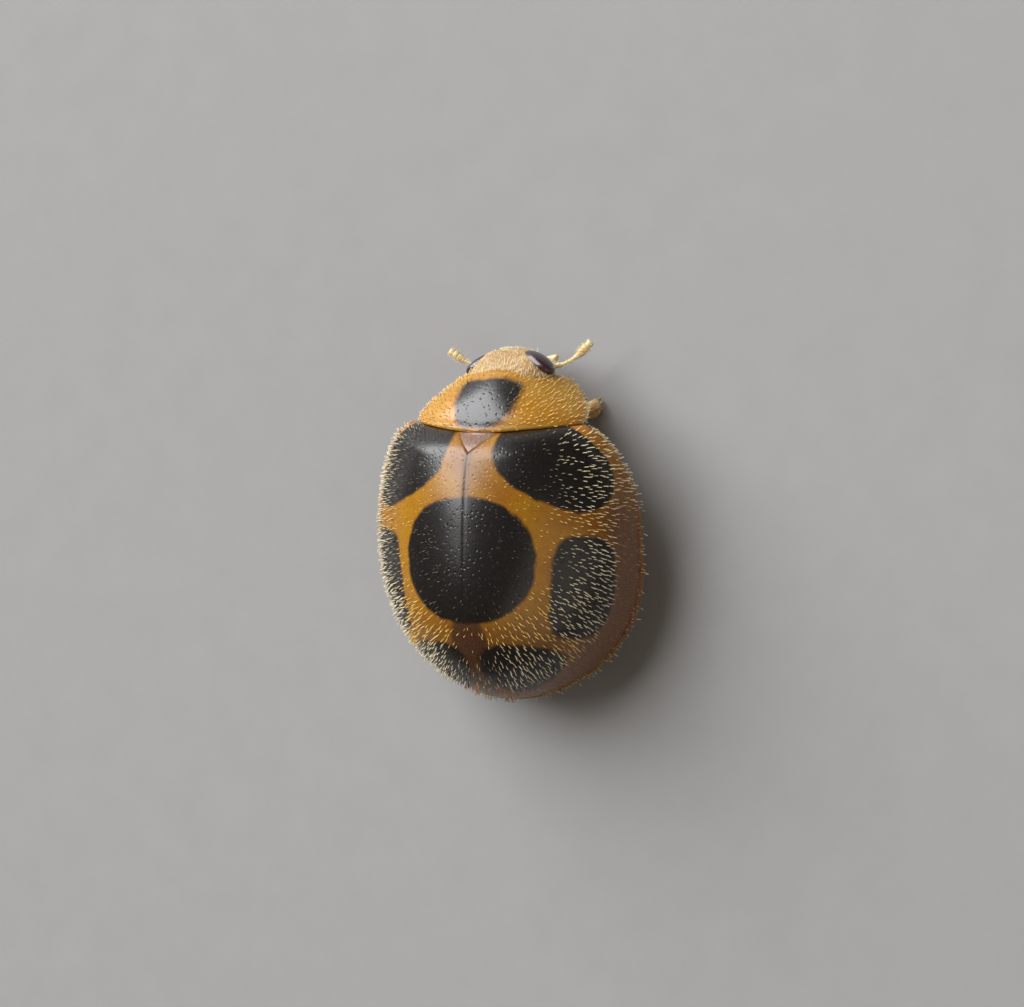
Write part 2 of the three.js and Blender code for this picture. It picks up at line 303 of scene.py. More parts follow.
def addNode(tree, kind, settings=None, sockets=None):
    made = tree.nodes.new(kind)
    for key, value in (settings or {}).items():
        setattr(made, key, value)
    for key, value in (sockets or {}).items():
        feed(tree, made.inputs[key], value)
    return made


def operator(operation, swapped=False):
    def apply(self, other):
        return self.maths(operation, other, self) if swapped else self.maths(operation, self, other)
    return apply


class Signal:
    def __init__(self, board, socket):
        self.board = board
        self.socket = socket

    def maths(self, operation, *values):
        return self.board.node("Math", {"operation": operation}, dict(enumerate(values)))

    def size(self):
        return self.maths("ABSOLUTE", self)

    __add__ = __radd__ = operator("ADD")
    __mul__ = __rmul__ = operator("MULTIPLY")
    __sub__ = operator("SUBTRACT")
    __rsub__ = operator("SUBTRACT", True)
    __truediv__ = operator("DIVIDE")
    __pow__ = operator("POWER")
    atLeast = operator("MAXIMUM")
    atMost = operator("MINIMUM")


class Board:
    def __init__(self, name):
        self.material = bpy.data.materials.new(name)
        self.material.use_nodes = True
        self.tree = self.material.node_tree
        self.shader = self.tree.nodes["Principled BSDF"]

    def node(self, kind, settings=None, sockets=None, out=0):
        made = addNode(self.tree, "ShaderNode" + kind, settings, sockets)
        return Signal(self, made.outputs[out])

    def set(self, values):
        for key, value in values.items():
            feed(self.tree, self.shader.inputs[key], value)
        return self.material

    def blend(self, factor, a, b):
        return self.node("Mix", {"data_type": "RGBA"}, {0: factor, 6: a, 7: b}, out=2)

    def ease(self, value, low, high):
        return self.node("MapRange", {"interpolation_type": "SMOOTHSTEP"},
                         {"Value": value, "From Min": low, "From Max": high})

    def parts(self, vector):
        made = self.node("SeparateXYZ", sockets={0: vector})
        return [Signal(self, socket) for socket in made.socket.node.outputs]

    def mark(self, name, out=1):
        return self.node("Attribute", {"attribute_name": name}, out=out)

    def surface(self):
        where = self.node("TexCoord", out=3)
        return self.node("VectorMath", {"operation": "SCALE"}, {0: where, "Scale": 1 / mm})

    def noise(self, where, scale, detail=3.0, roughness=0.5):
        return self.node("TexNoise", sockets={
            "Vector": where, "Scale": scale, "Detail": detail, "Roughness": roughness})

    def cells(self, where, scale, randomness=1.0):
        return self.node("TexVoronoi", sockets={
            "Vector": where, "Scale": scale, "Randomness": randomness})

    def bump(self, height, depth):
        return self.node("Bump", sockets={
            "Height": height, "Distance": depth * mm, "Strength": 1.0})


# Markings in millimetres over the shell, across from the suture and along the body;
# half holds the half-sizes across, toward the head and toward the tail.
wingSpots = [
    {"centre": (1.48, -1.17), "half": (1.08, 0.79, 0.79), "turn": 24, "power": 2.46},
    {"centre": (0.0, 0.555), "half": (1.08, 1.06, 1.05), "turn": 0, "power": 2.23},
    {"centre": (1.85, 0.97), "half": (0.55, 0.88, 0.88), "turn": 0, "power": 3.2},
    {"centre": (1.04, 2.36), "half": (0.9, 0.41, 0.42), "turn": 5, "power": 2.6},
]
collarSpots = [{"centre": (0.02, -2.25), "half": (0.57, 0.22, 0.67), "turn": 0, "power": 2.2}]
markEdge = {"soft": 0.035, "wobble": 0.05, "wobbleScale": 4.0}


def shellColour(board, spots, look):
    place = board.mark("place")
    across, along, fromEdge = board.parts(place)
    wander = (board.noise(place, markEdge["wobbleScale"]) - 0.5) * markEdge["wobble"] * 2
    mask = None
    for spot in spots:
        cos, sin = math.cos(math.radians(spot["turn"])), math.sin(math.radians(spot["turn"]))
        dx = across.size() - spot["centre"][0]
        dy = along - spot["centre"][1]
        u = ((dx * cos + dy * sin) / spot["half"][0]).size() ** spot["power"]
        lengthwise = dy * cos - dx * sin
        v = lengthwise.atLeast(0) / spot["half"][2] - lengthwise.atMost(0) / spot["half"][1]
        reach = (u + v ** spot["power"]) ** (1 / spot["power"]) + wander / min(spot["half"])
        soft = markEdge["soft"] / min(spot["half"])
        inside = board.ease(reach, 1 + soft, 1 - soft)
        mask = inside if mask is None else mask.atLeast(inside)
    mottle = board.noise(place, look["mottleScale"], 4.0, 0.6)
    ground = board.blend(board.ease(mottle, *look["mottle"]), look["orange"], look["amber"])
    return mask, across, along, fromEdge, ground


shellLook = {
    "orange": (0.38, 0.165, 0.001), "amber": (0.30, 0.10, 0.001), "black": (0.0075, 0.006, 0.0055),
    "mottleScale": 1.3, "mottle": (0.3, 0.75),
    # painted shade: rim is a dark brown laid on the band along the outer margin and, from tailAlong on, over
    # the tail, where the shell turns away from the light
    "rim": (0.135, 0.053, 0.018), "rimShadeAndHighlightEdge": (0.42, 0.2), "rimShadeAndHighlightAlong": (-1.4, 0.0), "rimShadeAndHighlightShare": 0.9,
    "tailAlong": (0.9, 2.3), "tailShadeShare": 0.7,
    # seam is the suture's own dark line; where it widens into a wedge toward the tail and grows darker toward
    # the rear it is painted shade
    "seam": (0.055, 0.021, 0.010), "seamHalf": 0.12, "seamShadeWidens": 0.34, "seamShadeWidensAlong": (0.9, 2.2),
    "seamAlong": (-1.6, 1.2), "seamLeast": 0.65, "seamTailShadeGain": 0.25, "seamShare": 1.0,
    "baseAcross": (0.5, 0.15), "baseAlong": (-0.45, -1.2), "baseShare": 0.3,
    "pitSpacing": 0.085, "pitEdge": (0.05, 0.34), "pitDepth": 0.0042, "grainScale": 55.0,
    "roughness": 0.22, "gloss": 0.65, "bleed": 0.35, "paleHairs": (1.2, 2.0),
}


def shellFinish(name, spots, look):
    board = Board(name)
    mask, across, along, fromEdge, ground = shellColour(board, spots, look)
    # painted shade on the wing cases: the margin band and the tail are blended toward the dark rim colour; on
    # the pronotum the same band gives a pale edge instead
    rimShadeAndHighlight = board.ease(fromEdge, *look["rimShadeAndHighlightEdge"]) * board.ease(along, *look["rimShadeAndHighlightAlong"])
    nearTail = board.ease(along, *look["tailAlong"])
    rimShadeAndHighlightShare = (rimShadeAndHighlight * look["rimShadeAndHighlightShare"]).atLeast(nearTail * look["tailShadeShare"])
    ground = board.blend(rimShadeAndHighlightShare, ground, look["rim"])
    # the thin seam line is the suture's own dark joint; its widening toward the tail and its darkening toward
    # the rear are painted shade
    seamShadeWidening = board.ease(along, *look["seamShadeWidensAlong"]) * look["seamShadeWidens"]
    nearSeam = board.ease(across.size() - seamShadeWidening, look["seamHalf"], 0.0)
    nearBase = board.ease(across.size(), *look["baseAcross"]) * board.ease(along, *look["baseAlong"])
    ground = board.blend(nearBase * look["baseShare"], ground, look["seam"])
    seamShare = board.ease(along, *look["seamAlong"]) * look["seamTailShadeGain"] + look["seamLeast"]
    ground = board.blend(nearSeam * (seamShare * look["seamShare"]), ground, look["seam"])
    where = board.surface()
    pits = board.ease(board.cells(where, 1 / look["pitSpacing"]), *look["pitEdge"])
    grain = board.noise(where, look["grainScale"])
    return board.set({
        "Base Color": board.blend(mask, ground, look["black"]),
        "Roughness": look["roughness"] + grain * 0.12 - mask * 0.03,
        "Specular IOR Level": look["gloss"],
        "Subsurface Weight": look["bleed"],
        "Subsurface Radius": (1.0, 0.35, 0.06),
        "Subsurface Scale": 0.7 * mm,
        "Normal": board.bump(pits * 0.8 + grain * 0.25, look["pitDepth"])})


# on the pronotum rim is a pale cream edge along the sides: partly the bead's own pale, see-through margin,
# partly a painted highlight
collarLook = dict(shellLook, orange=(0.64, 0.262, 0.02), amber=(0.57, 0.21, 0.013), rim=(0.74, 0.56, 0.28),
                  rimShadeAndHighlightEdge=(0.2, 0.03), rimShadeAndHighlightAlong=(-9.0, -8.0), seamShare=0.0, baseShare=0.0,
                  paleHairs=(0.9, 1.5), roughness=0.25, gloss=0.85, pitDepth=0.008, bleed=0.6)


def plainFinish(name, look):
    board = Board(name)
    where = board.surface()
    patchy = board.ease(board.noise(where, look["patchScale"], 4.0, 0.6), 0.35, 0.7)
    grain = board.noise(where, look["grainScale"])
    colour = board.blend(patchy, look["light"], look["dark"])
    if "tip" in look:
        tips = board.ease(board.parts(board.mark("place"))[0], 0.86, 1.0)
        colour = board.blend(tips * look["tipShare"], colour, look["tip"])
    pores = board.ease(board.cells(where, look["grainScale"] * 0.4), 0.1, 0.5)
    return board.set({
        "Base Color": colour,
        "Roughness": look["roughness"] + grain * 0.15,
        "Coat Weight": look["coat"],
        "Coat Roughness": 0.25,
        "Subsurface Weight": 0.4,
        "Subsurface Radius": (1.0, 0.45, 0.15),
        "Subsurface Scale": 0.3 * mm,
        "Normal": board.bump(pores + grain * 0.5, look["grainDepth"])})


limbLook = {"light": (0.62, 0.36, 0.12), "dark": (0.48, 0.24, 0.06), "tip": (0.07, 0.028, 0.01),
            "tipShare": 0.6, "patchScale": 3.0, "grainScale": 40.0, "grainDepth": 0.003,
            "roughness": 0.34, "coat": 0.3}
plainLooks = {
    "limb": limbLook,
    "feeler": dict(limbLook, light=(0.80, 0.68, 0.40), dark=(0.72, 0.56, 0.26), tip=(0.88, 0.80, 0.56)),
    # foot is a paler copy of the limb colour: painted light, standing for the light that the front foot
    # catches
    "foot": dict(limbLook, light=(0.76, 0.52, 0.25), dark=(0.64, 0.40, 0.15)),
    "under": {"light": (0.28, 0.12, 0.035), "dark": (0.16, 0.06, 0.02),
              "patchScale": 2.0, "grainScale": 30.0, "grainDepth": 0.006, "roughness": 0.4, "coat": 0.15},
    "head": {"light": (0.55, 0.38, 0.19), "dark": (0.47, 0.28, 0.11),
             "patchScale": 2.5, "grainScale": 36.0, "grainDepth": 0.006, "roughness": 0.38, "coat": 0.25},
    "mouth": dict(limbLook, light=(0.30, 0.12, 0.03), dark=(0.17, 0.06, 0.02), tip=(0.04, 0.015, 0.01)),
    # the scutellum's mauve-pink is a painted sheen laid into its colour; the plate itself is brown
    "scutellum": {"light": (0.24, 0.13, 0.085), "dark": (0.19, 0.10, 0.065),
                  "patchScale": 4.0, "grainScale": 30.0, "grainDepth": 0.004, "roughness": 0.26, "coat": 0.6},
}
eyeLook = {"deep": (0.022, 0.008, 0.014), "light": (0.045, 0.014, 0.02), "cloudScale": 2.2,
           "facetScale": 45.0, "facetDepth": 0.0018, "roughness": 0.18}


def eyeFinish():
    board = Board("eyeFinish")
    where = board.surface()
    facets = board.cells(where, eyeLook["facetScale"], 0.25)
    cloud = board.ease(board.noise(where, eyeLook["cloudScale"], 2.0), 0.35, 0.7)
    return board.set({
        "Base Color": board.blend(cloud, eyeLook["deep"], eyeLook["light"]),
        "Roughness": eyeLook["roughness"] + facets * 0.1,
        "Coat Weight": 0.8,
        "Coat Roughness": 0.08,
        "Normal": board.bump(1 - board.ease(facets, 0.0, 0.7), eyeLook["facetDepth"])})


hairLook = {
    "cream": (0.78, 0.68, 0.50), "straw": (0.66, 0.52, 0.30), "gold": (0.66, 0.42, 0.10),
    # umber is painted shade: the colour given to hairs on the bare margin band along the flanks
    "brass": (0.75, 0.52, 0.18), "dusk": (0.05, 0.044, 0.038), "bandShadeHair": (0.20, 0.10, 0.045),
    "root": (0.40, 0.25, 0.10), "rootEnds": (0.15, 0.6), "roughness": 0.36, "duskRoughness": 0.56,
    "tailAlong": (0.6, 1.8), "tailPales": 1.1, "goldReach": 0.8,
    "bandInner": (0.3, 0.18), "bandOuter": (0.01, 0.05), "bandAlong": (-0.8, 0.1), "bandShadeShare": 0.85,
}


def hairFinish(name, spots=None, look=None):
    # hairs take the ground's colour at the root; over dark spots they are dark on the disc and pale outside
    board = Board(name)
    tint = board.mark("tint", 2)
    tip = board.ease(board.mark("hairTip", 2), *hairLook["rootEnds"])
    pale = board.blend(tint, hairLook["straw"], hairLook["cream"])
    root = hairLook["root"]
    onDisc = 0.0
    if spots:
        mask, across, along, fromEdge, ground = shellColour(board, spots, look)
        root = board.blend(mask, ground, look["black"])
        nearTail = board.ease(along, *hairLook["tailAlong"]) * hairLook["tailPales"]
        outward = board.ease(across.size() + nearTail, *look["paleHairs"])
        onDisc = (1 - outward) * mask
        onBlack = board.blend(outward, hairLook["dusk"], pale)
        inner, outer = look["paleHairs"]
        toSide = board.ease(across.size(), inner, outer + hairLook["goldReach"])
        onGold = board.blend(toSide, board.blend(tint, hairLook["gold"], hairLook["brass"]), pale)
        pale = board.blend(mask, onGold, onBlack)
        # painted shade: hairs on the bare margin band of the wing cases are darkened toward umber
        onShadedBand = board.ease(fromEdge, *hairLook["bandInner"]) * board.ease(fromEdge, *hairLook["bandOuter"])
        onShadedBand = onShadedBand * look["seamShare"] * board.ease(along, *hairLook["bandAlong"])
        onShadedBand = onShadedBand * hairLook["bandShadeShare"]
        pale = board.blend(onShadedBand, pale, hairLook["bandShadeHair"])
    return board.set({
        "Base Color": board.blend(tip, root, pale),
        "Roughness": hairLook["roughness"] + tint * 0.08 + onDisc * hairLook["duskRoughness"],
        "Subsurface Weight": 1.0,
        "Subsurface Radius": (1.0, 0.85, 0.6),
        "Subsurface Scale": 0.03 * mm,
        "Specular IOR Level": 0.25})


finishes = {
    "shell": shellFinish("shellFinish", wingSpots, shellLook),
    "collar": shellFinish("collarFinish", collarSpots, collarLook),
    "shellHair": hairFinish("shellHairFinish", wingSpots, shellLook),
    "collarHair": hairFinish("collarHairFinish", collarSpots, collarLook),
    "hair": hairFinish("hairFinish"),
}
for name, look in plainLooks.items():
    finishes[name] = plainFinish(name + "Finish", look)
finishes["eye"] = eyeFinish()
print("finishes made:", len(finishes))


def buildStage():
    look = {
        "turn": 25.654, "pitch": 2.215, "roll": 0.958, "distance": 46.77, "target": (0.0, 0.0, 1.05),
        "slide": (0.0266, 0.3474), "lens": 96.36, "sensor": 36, "clip": (2, 2000),
        "keyFrom": (0.556, -0.575, 0.601), "keyDistance": 600, "keySize": (611, 790), "keyPower": 9.2,
        "keyColor": (0.97, 0.98, 1.0),
        "fillFrom": (-0.65, 0.45, 0.6), "fillDistance": 500, "fillSize": (500, 500), "fillPower": 0.4,
        "fillColor": (1.0, 0.93, 0.84),
        "sky": (1.0, 0.79, 0.63), "skyStrength": 0.13, "backdrop": (0.36, 0.355, 0.345),
        "floorHalf": 900, "floorDark": (0.29, 0.29, 0.286), "floorLight": (0.325, 0.324, 0.319),
        "floorGrain": 1.2, "floorRoughness": 0.7,
    }
    turn, pitch, roll = (math.radians(look[key]) for key in ("turn", "pitch", "roll"))
    level = math.cos(pitch)
    toCamera = np.array([-math.sin(turn) * level, -math.sin(pitch), math.cos(turn) * level])
    up = unitArrows(np.array([0, -1, 0]) + toCamera * toCamera[1])
    right = np.cross(-toCamera, up)
    right, up = right * math.cos(roll) + up * math.sin(roll), up * math.cos(roll) - right * math.sin(roll)
    aside, above = look["slide"]
    place = np.array(look["target"]) + toCamera * look["distance"] + right * aside + up * above
    camera = bpy.data.objects.new("camera", bpy.data.cameras.new("camera"))
    camera.data.lens, camera.data.sensor_width = look["lens"], look["sensor"]
    camera.data.clip_start, camera.data.clip_end = (distance * mm for distance in look["clip"])
    rows = [[*row, at * mm] for row, at in zip(np.array([right, up, toCamera]).T, place)]
    camera.matrix_world = Matrix(rows + [[0, 0, 0, 1]])
    bpy.context.collection.objects.link(camera)
    scene = bpy.context.scene
    scene.camera = camera
    scene.view_settings.view_transform = "Standard"

    for name in ("key", "fill"):
        light = bpy.data.lights.new(name, "AREA")
        light.shape = "RECTANGLE"
        light.size, light.size_y = (side * mm for side in look[name + "Size"])
        light.energy = look[name + "Power"]
        light.color = look[name + "Color"]
        lamp = bpy.data.objects.new(name, light)
        back = unitArrows(np.array(look[name + "From"]))
        lamp.location = (back * look[name + "Distance"] * mm).tolist()
        lamp.rotation_mode = "QUATERNION"
        lamp.visible_camera = False
        lamp.rotation_quaternion = (-lamp.location).to_track_quat("-Z", "Y")
        bpy.context.collection.objects.link(lamp)

    # the room is warm and dim; the camera sees a grey backdrop in its place
    scene.world = bpy.data.worlds.new("softRoom")
    scene.world.use_nodes = True
    tree = scene.world.node_tree
    sky = [part * look["skyStrength"] for part in look["sky"]]
    seen = addNode(tree, "ShaderNodeLightPath").outputs["Is Camera Ray"]
    blend = addNode(tree, "ShaderNodeMix", {"data_type": "RGBA"}, {0: seen, 6: sky, 7: look["backdrop"]})
    feed(tree, tree.nodes["Background"].inputs["Color"], blend.outputs[2])

    half = look["floorHalf"]
    corners = [(-half, -half, 0), (half, -half, 0), (half, half, 0), (-half, half, 0)]
    board = Board("floorFinish")
    grain = board.noise(board.surface(), look["floorGrain"], 5.0, 0.6)
    finish = board.set({
        "Base Color": board.blend(grain, look["floorDark"], look["floorLight"]),
        "Roughness": look["floorRoughness"]})
    floor = makePiece("floor", makeMesh("floor", corners, [(0, 1, 2, 3)]), finish)


buildStage()
print("camera, lights and floor set")


# The coat is grown on a skin by geometry nodes.
def coatTree(finish):
    tree = bpy.data.node_groups.new("coat", "GeometryNodeTree")
    kinds = {"Geometry": "Geometry", "Seed": "Int", "Bend": "Vector", "Tip": "Vector"}
    for name in ("Geometry", "Spacing", "Density", "Length", "Root Radius", "Tip Share", "Spread",
                 "Thin", "Patch", "Seed", "Bend", "Tip"):
        kind = "NodeSocket" + kinds.get(name, "Float")
        tree.interface.new_socket(name, in_out="INPUT", socket_type=kind)
    tree.interface.new_socket("Geometry", in_out="OUTPUT", socket_type="NodeSocketGeometry")

    def add(kind, settings=None, sockets=None, out=0, family="GeometryNode"):
        return addNode(tree, family + kind, settings, sockets).outputs[out]

    def named(name, kind="FLOAT"):
        return add("InputNamedAttribute", {"data_type": kind}, {"Name": name})

    def store(geometry, name, value, kind="FLOAT", domain="POINT"):
        return add("StoreNamedAttribute", {"data_type": kind, "domain": domain},
                   {"Geometry": geometry, "Name": name, "Value": value})

    def arrow(operation, a, b):
        second = "Scale" if operation == "SCALE" else 1
        return add("VectorMath", {"operation": operation}, {0: a, second: b}, family="ShaderNode")

    def times(a, b):
        return add("Math", {"operation": "MULTIPLY"}, {0: a, 1: b}, family="ShaderNode")

    def between(low, high, seed, kind="FLOAT"):
        first, out = (2, 1) if kind == "FLOAT" else (0, 0)
        sockets = {first: low, first + 1: high, 8: seed}
        return add("RandomValue", {"data_type": kind}, sockets, out, "FunctionNode")

    def rescale(value, sockets):
        return add("MapRange", sockets=dict(sockets, Value=value), family="ShaderNode")

    given = tree.nodes.new("NodeGroupInput").outputs
    points = add("DistributePointsOnFaces", {"distribute_method": "POISSON"}, {
        "Mesh": given["Geometry"], "Distance Min": given["Spacing"], "Density Max": given["Density"],
        "Density Factor": named("cover"), "Seed": given["Seed"]})
    upright = add("AxesToRotation", {"primary_axis": "Z", "secondary_axis": "X"}, {
        "Primary Axis": points.node.outputs["Normal"], "Secondary Axis": named("lay", "FLOAT_VECTOR")},
        family="FunctionNode")
    most = arrow("SCALE", (1, 1, 1), given["Spread"])
    tilt = between(arrow("SCALE", most, -1.0), most, given["Seed"], "FLOAT_VECTOR")
    tilt = add("EulerToRotation", sockets={0: tilt}, family="FunctionNode")
    tilted = add("RotateRotation", {"rotation_space": "LOCAL"}, {0: upright, 1: tilt}, family="FunctionNode")
    size = between(0.78, 1.12, given["Seed"])
    roots = store(points, "tint", between(0.0, 1.0, 5))

    # one hair: a bent, tapered tube of four sides
    stem = add("CurveQuadraticBezier", sockets={
        "Resolution": 5, "Start": (0, 0, 0), "Middle": given["Bend"], "End": given["Tip"]})
    way = add("SplineParameter")
    stem = store(stem, "hairTip", way)
    taper = rescale(way, {"From Min": 0.3, "To Min": 1.0, "To Max": given["Tip Share"]})
    stem = add("SetCurveRadius", sockets={"Curve": stem, "Radius": taper})
    ring = add("CurvePrimitiveCircle", sockets={"Resolution": 4, "Radius": given["Root Radius"]})
    ring = store(ring, "around", add("SplineParameter"))
    hair = add("CurveToMesh", sockets={"Curve": stem, "Profile Curve": ring, "Fill Caps": True})
    sparse = rescale(named("cover"), {"To Min": given["Thin"]})
    planted = add("InstanceOnPoints", sockets={
        "Points": roots, "Instance": hair, "Rotation": tilted,
        "Scale": times(times(size, given["Length"]), sparse)})
    real = add("RealizeInstances", sockets={"Geometry": planted})

    # the map: each hair is a small patch at its root's place on the skin's unwrap
    corner = add("CombineXYZ", sockets={0: named("around"), 1: named("hairTip")}, family="ShaderNode")
    patch = arrow("SCALE", arrow("SUBTRACT", corner, (0.5, 0.5, 0)), given["Patch"])
    spot = arrow("ADD", named("unwrap", "FLOAT_VECTOR"), patch)
    mapped = store(real, "OFBake", spot, "FLOAT2", "CORNER")
    smooth = add("SetShadeSmooth", sockets={"Geometry": mapped})
    dressed = add("SetMaterial", sockets={"Geometry": smooth, "Material": finish})
    tree.links.new(dressed, tree.nodes.new("NodeGroupOutput").inputs[0])
    return tree


coatParts = ("Spacing", "Density", "Length", "Root Radius", "Tip Share", "Spread", "Bend", "Tip")
coats = {
    "shell": (0.056, 260, 0.118, 0.064, 0.35, 0.22, (0.08, 0, 0.42), (0.62, 0, 0.66)),
    "collar": (0.058, 280, 0.082, 0.095, 0.35, 0.25, (0.08, 0, 0.4), (0.56, 0, 0.64)),
    "head": (0.04, 480, 0.07, 0.085, 0.35, 0.3, (0.15, 0, 0.35), (0.8, 0, 0.5)),
    "limb": (0.038, 380, 0.085, 0.075, 0.35, 0.25, (0.22, 0, 0.34), (0.8, 0, 0.5)),
    "feeler": (0.022, 1100, 0.045, 0.09, 0.4, 0.3, (0.25, 0, 0.35), (0.75, 0, 0.6)),
    "belly": (0.07, 160, 0.1, 0.06, 0.2, 0.25, (0.25, 0, 0.28), (0.9, 0, 0.34)),
}
coatUnits = {"Spacing": mm, "Density": 1 / mm ** 2, "Length": mm}
allCoats = {"Patch": 0.003, "Thin": 0.35}


def growCoat(name, mesh, values, finish, seed, node):
    skin = bpy.data.objects.new(name + "Skin", mesh)
    bpy.context.collection.objects.link(skin)
    tree = coatTree(finish)
    grower = skin.modifiers.new("coat", "NODES")
    grower.node_group = tree
    settings = dict(zip(coatParts, values), Seed=seed, **allCoats)
    for item in tree.interface.items_tree:
        if item.in_out == "INPUT" and item.name in settings:
            value = settings[item.name]
            grower[item.identifier] = value * coatUnits[item.name] if item.name in coatUnits else value
    graph = bpy.context.evaluated_depsgraph_get()
    grown = bpy.data.meshes.new_from_object(
        skin.evaluated_get(graph), preserve_all_data_layers=True, depsgraph=graph)
    skin.modifiers.remove(grower)
    bpy.data.objects.remove(skin)
    grown.name = name
    wear(makePiece(name, grown, finish), "hair", node)
    triangles = sum(len(face.vertices) - 2 for face in grown.polygons)
    print(name, "grown,", triangles, "triangles")


def dress(name, mesh, finish, slot, node, coat, hair="hair"):
    # coat: what its name ends with, its kind and its seed
    ending, kind, seed = coat
    growCoat("coat" + ending, mesh, coats[kind], finishes[hair], seed, node)
    wear(makePiece(name, mesh, finishes[finish]), slot, node)


# Wing cases: a domed shell down to a beaded rim, then the fold that turns in under it.
def wingProfile(look, s, t, inset=0.0):
    start = edgeStart(s, inset, baseLine)
    y = mix(start, wing["tail"] - inset, np.sin(t * math.pi / 2))
    dome = domePoint(s, y, inset)
    edge = dome[:, -1:]
    front = ease(look["liftFrom"], look["liftTo"], edge[..., 1])
    corner = np.clip(1 - t / look["cornerAlong"], 0, 1) ** 2
    low = rimHeight(edge[..., 1]) + look["rimLift"] * front + look["cornerLift"] * corner
    drop = np.linspace(0, 1, look["wallColumns"])[None, 1:]
    wall = np.repeat(edge, drop.shape[1], axis=1)
    wall[..., 2] = mix(edge[..., 2], np.minimum(low, edge[..., 2]), drop)
    tuck = look["tuck"] * (edge[..., 2] - wall[..., 2])
    wall[..., 0] = halfWidth(wall[..., 1], inset + tuck)
    points = np.concatenate([dome, wall], axis=1)
    overDome = np.broadcast_to(wing["girth"] * np.arcsin(s) * 2 / math.pi, dome.shape[:2])
    across = np.concatenate([overDome, wing["girth"] + edge[..., 2] - wall[..., 2]], axis=1)
    return points, across


def evenColumns(look, shares, points, across):
    # spaces each row's points by length, and rounds the bend where the dome meets the wall
    grid = np.zeros((len(points), len(shares), 3))
    newAcross = np.zeros(grid.shape[:2])
    for row, line in enumerate(points):
        length = lengthAlong(line)
        for axis in range(3):
            grid[row, :, axis] = np.interp(shares * length[-1], length, line[:, axis])
        newAcross[row] = np.interp(shares * length[-1], length, across[row])
    least = look["roundFrom"]
    near = bell(newAcross - wing["girth"], look["corner"])
    near = near * (newAcross[:, -1:] - wing["girth"]).clip(0, least) / least
    for step in range(look["roundSteps"]):
        middle = (grid[:, :-2] + grid[:, 2:]) / 2
        grid[:, 1:-1] = mix(grid[:, 1:-1], middle, 0.5 * near[:, 1:-1, None])
    return grid, newAcross


wingLook = {
    "across": 110, "along": 132, "wallColumns": 24, "domeColumns": 160,
    "seamShares": [0, 0.001, 0.0025, 0.005, 0.01, 0.017],
    "wall": 0.06, "baseWall": 0.4, "baseWallTo": 0.05, "seamHalf": 0.001, "tuck": 0.7,
    "corner": 0.3, "roundFrom": 0.1, "roundSteps": 9,
    "rimLift": 0.12, "liftFrom": -0.9, "liftTo": -1.7, "cornerLift": 0.25, "cornerAlong": 0.09,
    "bead": 0.028, "beadWidth": 0.05, "beadFrom": 0.12, "gutter": 0.02, "gutterAt": 0.13, "gutterWidth": 0.06,
    "callus": 0.035, "callusAt": (1.95, -1.25), "callusWidth": 0.3,
    "seam": 0.0045, "seamWidth": 0.022, "foldFront": 0.37, "foldTail": 0.1,
    # the fold's courses: share of its depth, height over the rim
    "courses": [(1.0, 0.07), (1.0, 0.0), (0.7, -0.02), (0.4, -0.02), (0.15, -0.01), (0.06, -0.004),
                (0.02, 0.0)],
    "pull": (0.22, 0.2, -1.0), "seamBare": 0.03, "baseBare": 0.012,
    "discCover": 0.3, "discAcross": (0.9, 2.1), "discAlong": (0.6, 1.8), "discShrinks": 1.1,
    "marginCover": 0.4, "marginInner": (0.26, 0.17), "marginOuter": (0.1, 0.16),
    "marginAlong": (-0.8, 0.1), "marginAcross": (0.5, 1.5),
}


def wingCover(look, across, y, t, fromEdge, fromRim):
    # hairs are thinner on the disc and on the bare margin
    cover = ease(0.0, look["seamBare"], across) * ease(0.0, look["baseBare"], t)
    toDisc = across + look["discShrinks"] * ease(*look["discAlong"], y)
    cover = cover * mix(look["discCover"], 1, ease(*look["discAcross"], toDisc))
    bare = ease(*look["marginInner"], fromEdge) * ease(*look["marginOuter"], fromRim)
    bare = bare * ease(*look["marginAlong"], y) * ease(*look["marginAcross"], across)
    return cover * mix(1, look["marginCover"], bare)


